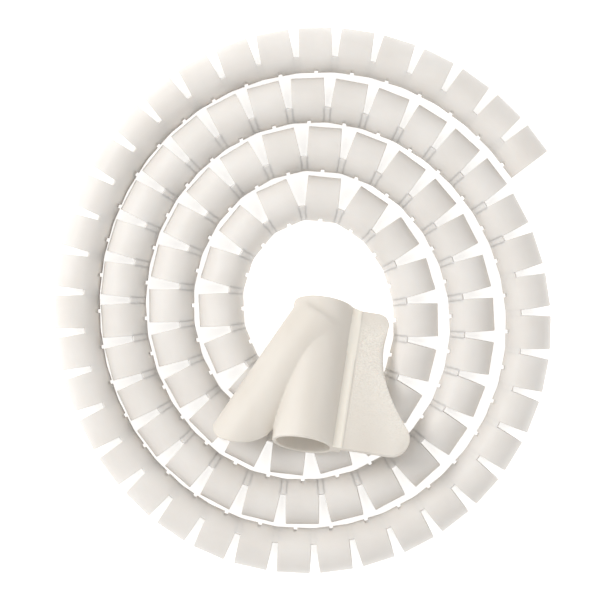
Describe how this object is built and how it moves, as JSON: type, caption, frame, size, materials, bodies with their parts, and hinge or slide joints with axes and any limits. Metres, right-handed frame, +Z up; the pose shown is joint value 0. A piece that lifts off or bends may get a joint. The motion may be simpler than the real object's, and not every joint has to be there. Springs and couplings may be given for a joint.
{
  "type": "slotted cable sleeve coil with loading tool",
  "caption": "Slotted flexible cable sleeve wound into a flat oval coil, with its separate Y-shaped loading tool lying in the eye of the coil.",
  "frame": {"origin": "middle of the coil's footprint, on the surface it lies on", "axes": "+Z up out of the flat coil, +Y along the coil's long way, towards the side away from the tool's open end; the sleeve's free end is at +X +Y"},
  "size_m": [0.1786, 0.1966, 0.0373],
  "materials": {
    "sleeve": "satin off-white polyethylene",
    "tool": "satin off-white plastic with a grained grip"
  },
  "bodies": {
    "coil": {"stored_turn_section_01": "sleeve", "stored_turn_section_02": "sleeve", "stored_turn_section_03": "sleeve", "stored_turn_section_04": "sleeve", "stored_turn_section_05": "sleeve", "stored_turn_section_06": "sleeve", "stored_turn_section_07": "sleeve", "stored_turn_section_08": "sleeve", "stored_turn_section_09": "sleeve", "stored_turn_section_10": "sleeve", "stored_turn_section_11": "sleeve"},
    "rib_01": {"rib_01": "sleeve"},
    "rib_02": {"rib_02": "sleeve"},
    "rib_03": {"rib_03": "sleeve"},
    "rib_04": {"rib_04": "sleeve"},
    "rib_05": {"rib_05": "sleeve"},
    "rib_06": {"rib_06": "sleeve"},
    "rib_07": {"rib_07": "sleeve"},
    "rib_08": {"rib_08": "sleeve"},
    "rib_09": {"rib_09": "sleeve"},
    "rib_10": {"rib_10": "sleeve"},
    "rib_11": {"rib_11": "sleeve"},
    "rib_12": {"rib_12": "sleeve"},
    "rib_13": {"rib_13": "sleeve"},
    "rib_14": {"rib_14": "sleeve"},
    "rib_15": {"rib_15": "sleeve"},
    "rib_16": {"rib_16": "sleeve"},
    "rib_17": {"rib_17": "sleeve"},
    "rib_18": {"rib_18": "sleeve"},
    "rib_19": {"rib_19": "sleeve"},
    "rib_20": {"rib_20": "sleeve"},
    "rib_21": {"rib_21": "sleeve"},
    "rib_22": {"rib_22": "sleeve"},
    "rib_23": {"rib_23": "sleeve"},
    "rib_24": {"rib_24": "sleeve"},
    "rib_25": {"rib_25": "sleeve"},
    "rib_26": {"rib_26": "sleeve"},
    "rib_27": {"rib_27": "sleeve"},
    "rib_28": {"rib_28": "sleeve"},
    "rib_29": {"rib_29": "sleeve"},
    "rib_30": {"rib_30": "sleeve"},
    "rib_31": {"rib_31": "sleeve"},
    "rib_32": {"rib_32": "sleeve"},
    "rib_33": {"rib_33": "sleeve"},
    "rib_34": {"rib_34": "sleeve"},
    "rib_35": {"rib_35": "sleeve"},
    "rib_36": {"rib_36": "sleeve"},
    "loading_tool": {"loading_tool": "tool"}
  },
  "joints": [
    {"name": "slot_hinge_36", "type": "hinge", "parent": "coil", "child": "rib_36", "pos_m": [0.07425, 0.00872, 0.00778], "axis": [0, 0, 1], "range_deg": [0, 9.67]},
    {"name": "slot_hinge_35", "type": "hinge", "parent": "rib_36", "child": "rib_35", "pos_m": [0.07622, -0.00455, 0.00778], "axis": [0, 0, 1], "range_deg": [0, 9.84]},
    {"name": "slot_hinge_34", "type": "hinge", "parent": "rib_35", "child": "rib_34", "pos_m": [0.0759, -0.01809, 0.00778], "axis": [0, 0, 1], "range_deg": [0, 10.11]},
    {"name": "slot_hinge_33", "type": "hinge", "parent": "rib_34", "child": "rib_33", "pos_m": [0.07328, -0.03099, 0.00778], "axis": [0, 0, 1], "range_deg": [0, 9.9]},
    {"name": "slot_hinge_32", "type": "hinge", "parent": "rib_33", "child": "rib_32", "pos_m": [0.06837, -0.04352, 0.00778], "axis": [0, 0, 1], "range_deg": [0, 10.16]},
    {"name": "slot_hinge_31", "type": "hinge", "parent": "rib_32", "child": "rib_31", "pos_m": [0.06125, -0.05513, 0.00778], "axis": [0, 0, 1], "range_deg": [0, 10.24]},
    {"name": "slot_hinge_30", "type": "hinge", "parent": "rib_31", "child": "rib_30", "pos_m": [0.05233, -0.06511, 0.00778], "axis": [0, 0, 1], "range_deg": [0, 10.27]},
    {"name": "slot_hinge_29", "type": "hinge", "parent": "rib_30", "child": "rib_29", "pos_m": [0.04174, -0.07337, 0.00778], "axis": [0, 0, 1], "range_deg": [0, 10.25]},
    {"name": "slot_hinge_28", "type": "hinge", "parent": "rib_29", "child": "rib_28", "pos_m": [0.03007, -0.07949, 0.00778], "axis": [0, 0, 1], "range_deg": [0, 10.29]},
    {"name": "slot_hinge_27", "type": "hinge", "parent": "rib_28", "child": "rib_27", "pos_m": [0.01708, -0.08357, 0.00778], "axis": [0, 0, 1], "range_deg": [0, 10.19]},
    {"name": "slot_hinge_26", "type": "hinge", "parent": "rib_27", "child": "rib_26", "pos_m": [0.004, -0.08522, 0.00778], "axis": [0, 0, 1], "range_deg": [0, 9.92]},
    {"name": "slot_hinge_25", "type": "hinge", "parent": "rib_26", "child": "rib_25", "pos_m": [-0.00953, -0.08459, 0.00778], "axis": [0, 0, 1], "range_deg": [0, 10.24]},
    {"name": "slot_hinge_24", "type": "hinge", "parent": "rib_25", "child": "rib_24", "pos_m": [-0.02246, -0.08162, 0.00778], "axis": [0, 0, 1], "range_deg": [0, 10.88]},
    {"name": "slot_hinge_23", "type": "hinge", "parent": "rib_24", "child": "rib_23", "pos_m": [-0.03481, -0.07616, 0.00778], "axis": [0, 0, 1], "range_deg": [0, 10.42]},
    {"name": "slot_hinge_22", "type": "hinge", "parent": "rib_23", "child": "rib_22", "pos_m": [-0.04568, -0.06877, 0.00778], "axis": [0, 0, 1], "range_deg": [0, 9.93]},
    {"name": "slot_hinge_21", "type": "hinge", "parent": "rib_22", "child": "rib_21", "pos_m": [-0.05534, -0.05939, 0.00778], "axis": [0, 0, 1], "range_deg": [0, 9.57]},
    {"name": "slot_hinge_20", "type": "hinge", "parent": "rib_21", "child": "rib_20", "pos_m": [-0.06328, -0.04857, 0.00778], "axis": [0, 0, 1], "range_deg": [0, 9.11]},
    {"name": "slot_hinge_19", "type": "hinge", "parent": "rib_20", "child": "rib_19", "pos_m": [-0.06937, -0.0367, 0.00778], "axis": [0, 0, 1], "range_deg": [0, 8.82]},
    {"name": "slot_hinge_18", "type": "hinge", "parent": "rib_19", "child": "rib_18", "pos_m": [-0.07363, -0.02382, 0.00778], "axis": [0, 0, 1], "range_deg": [0, 8.58]},
    {"name": "slot_hinge_17", "type": "hinge", "parent": "rib_18", "child": "rib_17", "pos_m": [-0.0759, -0.01066, 0.00778], "axis": [0, 0, 1], "range_deg": [0, 8.39]},
    {"name": "slot_hinge_16", "type": "hinge", "parent": "rib_17", "child": "rib_16", "pos_m": [-0.07622, 0.00279, 0.00778], "axis": [0, 0, 1], "range_deg": [0, 8.38]},
    {"name": "slot_hinge_15", "type": "hinge", "parent": "rib_16", "child": "rib_15", "pos_m": [-0.07457, 0.01619, 0.00778], "axis": [0, 0, 1], "range_deg": [0, 8.3]},
    {"name": "slot_hinge_14", "type": "hinge", "parent": "rib_15", "child": "rib_14", "pos_m": [-0.07112, 0.02882, 0.00778], "axis": [0, 0, 1], "range_deg": [0, 8.39]},
    {"name": "slot_hinge_13", "type": "hinge", "parent": "rib_14", "child": "rib_13", "pos_m": [-0.06573, 0.04109, 0.00778], "axis": [0, 0, 1], "range_deg": [0, 8.77]},
    {"name": "slot_hinge_12", "type": "hinge", "parent": "rib_13", "child": "rib_12", "pos_m": [-0.05839, 0.05262, 0.00778], "axis": [0, 0, 1], "range_deg": [0, 8.96]},
    {"name": "slot_hinge_11", "type": "hinge", "parent": "rib_12", "child": "rib_11", "pos_m": [-0.04969, 0.06249, 0.00778], "axis": [0, 0, 1], "range_deg": [0, 9.17]},
    {"name": "slot_hinge_10", "type": "hinge", "parent": "rib_11", "child": "rib_10", "pos_m": [-0.03934, 0.07099, 0.00778], "axis": [0, 0, 1], "range_deg": [0, 9.65]},
    {"name": "slot_hinge_09", "type": "hinge", "parent": "rib_10", "child": "rib_09", "pos_m": [-0.02752, 0.07775, 0.00778], "axis": [0, 0, 1], "range_deg": [0, 9.5]},
    {"name": "slot_hinge_08", "type": "hinge", "parent": "rib_09", "child": "rib_08", "pos_m": [-0.01508, 0.08233, 0.00778], "axis": [0, 0, 1], "range_deg": [0, 9.19]},
    {"name": "slot_hinge_07", "type": "hinge", "parent": "rib_08", "child": "rib_07", "pos_m": [-0.00207, 0.08487, 0.00778], "axis": [0, 0, 1], "range_deg": [0, 9.71]},
    {"name": "slot_hinge_06", "type": "hinge", "parent": "rib_07", "child": "rib_06", "pos_m": [0.0116, 0.0852, 0.00778], "axis": [0, 0, 1], "range_deg": [0, 9.78]},
    {"name": "slot_hinge_05", "type": "hinge", "parent": "rib_06", "child": "rib_05", "pos_m": [0.02461, 0.08327, 0.00778], "axis": [0, 0, 1], "range_deg": [0, 8.99]},
    {"name": "slot_hinge_04", "type": "hinge", "parent": "rib_05", "child": "rib_04", "pos_m": [0.0374, 0.07925, 0.00778], "axis": [0, 0, 1], "range_deg": [0, 9.05]},
    {"name": "slot_hinge_03", "type": "hinge", "parent": "rib_04", "child": "rib_03", "pos_m": [0.0493, 0.07332, 0.00778], "axis": [0, 0, 1], "range_deg": [0, 9.06]},
    {"name": "slot_hinge_02", "type": "hinge", "parent": "rib_03", "child": "rib_02", "pos_m": [0.06038, 0.06541, 0.00778], "axis": [0, 0, 1], "range_deg": [0, 8.93]},
    {"name": "slot_hinge_01", "type": "hinge", "parent": "rib_02", "child": "rib_01", "pos_m": [0.07003, 0.05593, 0.00778], "axis": [0, 0, 1], "range_deg": [0, 8.56]},
    {"name": "tool_lift_off", "type": "slide", "parent": "coil", "child": "loading_tool", "axis": [0, 0, 1], "range_m": [0, 0.06]}
  ],
  "couplings": [
    {"joint": "slot_hinge_35", "follows": "slot_hinge_36", "ratio": 1.0166},
    {"joint": "slot_hinge_34", "follows": "slot_hinge_36", "ratio": 1.0449},
    {"joint": "slot_hinge_33", "follows": "slot_hinge_36", "ratio": 1.0235},
    {"joint": "slot_hinge_32", "follows": "slot_hinge_36", "ratio": 1.0499},
    {"joint": "slot_hinge_31", "follows": "slot_hinge_36", "ratio": 1.059},
    {"joint": "slot_hinge_30", "follows": "slot_hinge_36", "ratio": 1.0619},
    {"joint": "slot_hinge_29", "follows": "slot_hinge_36", "ratio": 1.0591},
    {"joint": "slot_hinge_28", "follows": "slot_hinge_36", "ratio": 1.0638},
    {"joint": "slot_hinge_27", "follows": "slot_hinge_36", "ratio": 1.0532},
    {"joint": "slot_hinge_26", "follows": "slot_hinge_36", "ratio": 1.0254},
    {"joint": "slot_hinge_25", "follows": "slot_hinge_36", "ratio": 1.0585},
    {"joint": "slot_hinge_24", "follows": "slot_hinge_36", "ratio": 1.1244},
    {"joint": "slot_hinge_23", "follows": "slot_hinge_36", "ratio": 1.077},
    {"joint": "slot_hinge_22", "follows": "slot_hinge_36", "ratio": 1.0263},
    {"joint": "slot_hinge_21", "follows": "slot_hinge_36", "ratio": 0.98891},
    {"joint": "slot_hinge_20", "follows": "slot_hinge_36", "ratio": 0.94163},
    {"joint": "slot_hinge_19", "follows": "slot_hinge_36", "ratio": 0.91158},
    {"joint": "slot_hinge_18", "follows": "slot_hinge_36", "ratio": 0.88666},
    {"joint": "slot_hinge_17", "follows": "slot_hinge_36", "ratio": 0.86744},
    {"joint": "slot_hinge_16", "follows": "slot_hinge_36", "ratio": 0.86593},
    {"joint": "slot_hinge_15", "follows": "slot_hinge_36", "ratio": 0.85793},
    {"joint": "slot_hinge_14", "follows": "slot_hinge_36", "ratio": 0.86733},
    {"joint": "slot_hinge_13", "follows": "slot_hinge_36", "ratio": 0.90666},
    {"joint": "slot_hinge_12", "follows": "slot_hinge_36", "ratio": 0.92603},
    {"joint": "slot_hinge_11", "follows": "slot_hinge_36", "ratio": 0.94815},
    {"joint": "slot_hinge_10", "follows": "slot_hinge_36", "ratio": 0.99782},
    {"joint": "slot_hinge_09", "follows": "slot_hinge_36", "ratio": 0.98232},
    {"joint": "slot_hinge_08", "follows": "slot_hinge_36", "ratio": 0.95005},
    {"joint": "slot_hinge_07", "follows": "slot_hinge_36", "ratio": 1.0036},
    {"joint": "slot_hinge_06", "follows": "slot_hinge_36", "ratio": 1.011},
    {"joint": "slot_hinge_05", "follows": "slot_hinge_36", "ratio": 0.92972},
    {"joint": "slot_hinge_04", "follows": "slot_hinge_36", "ratio": 0.9358},
    {"joint": "slot_hinge_03", "follows": "slot_hinge_36", "ratio": 0.93666},
    {"joint": "slot_hinge_02", "follows": "slot_hinge_36", "ratio": 0.92307},
    {"joint": "slot_hinge_01", "follows": "slot_hinge_36", "ratio": 0.88526}
  ]
}
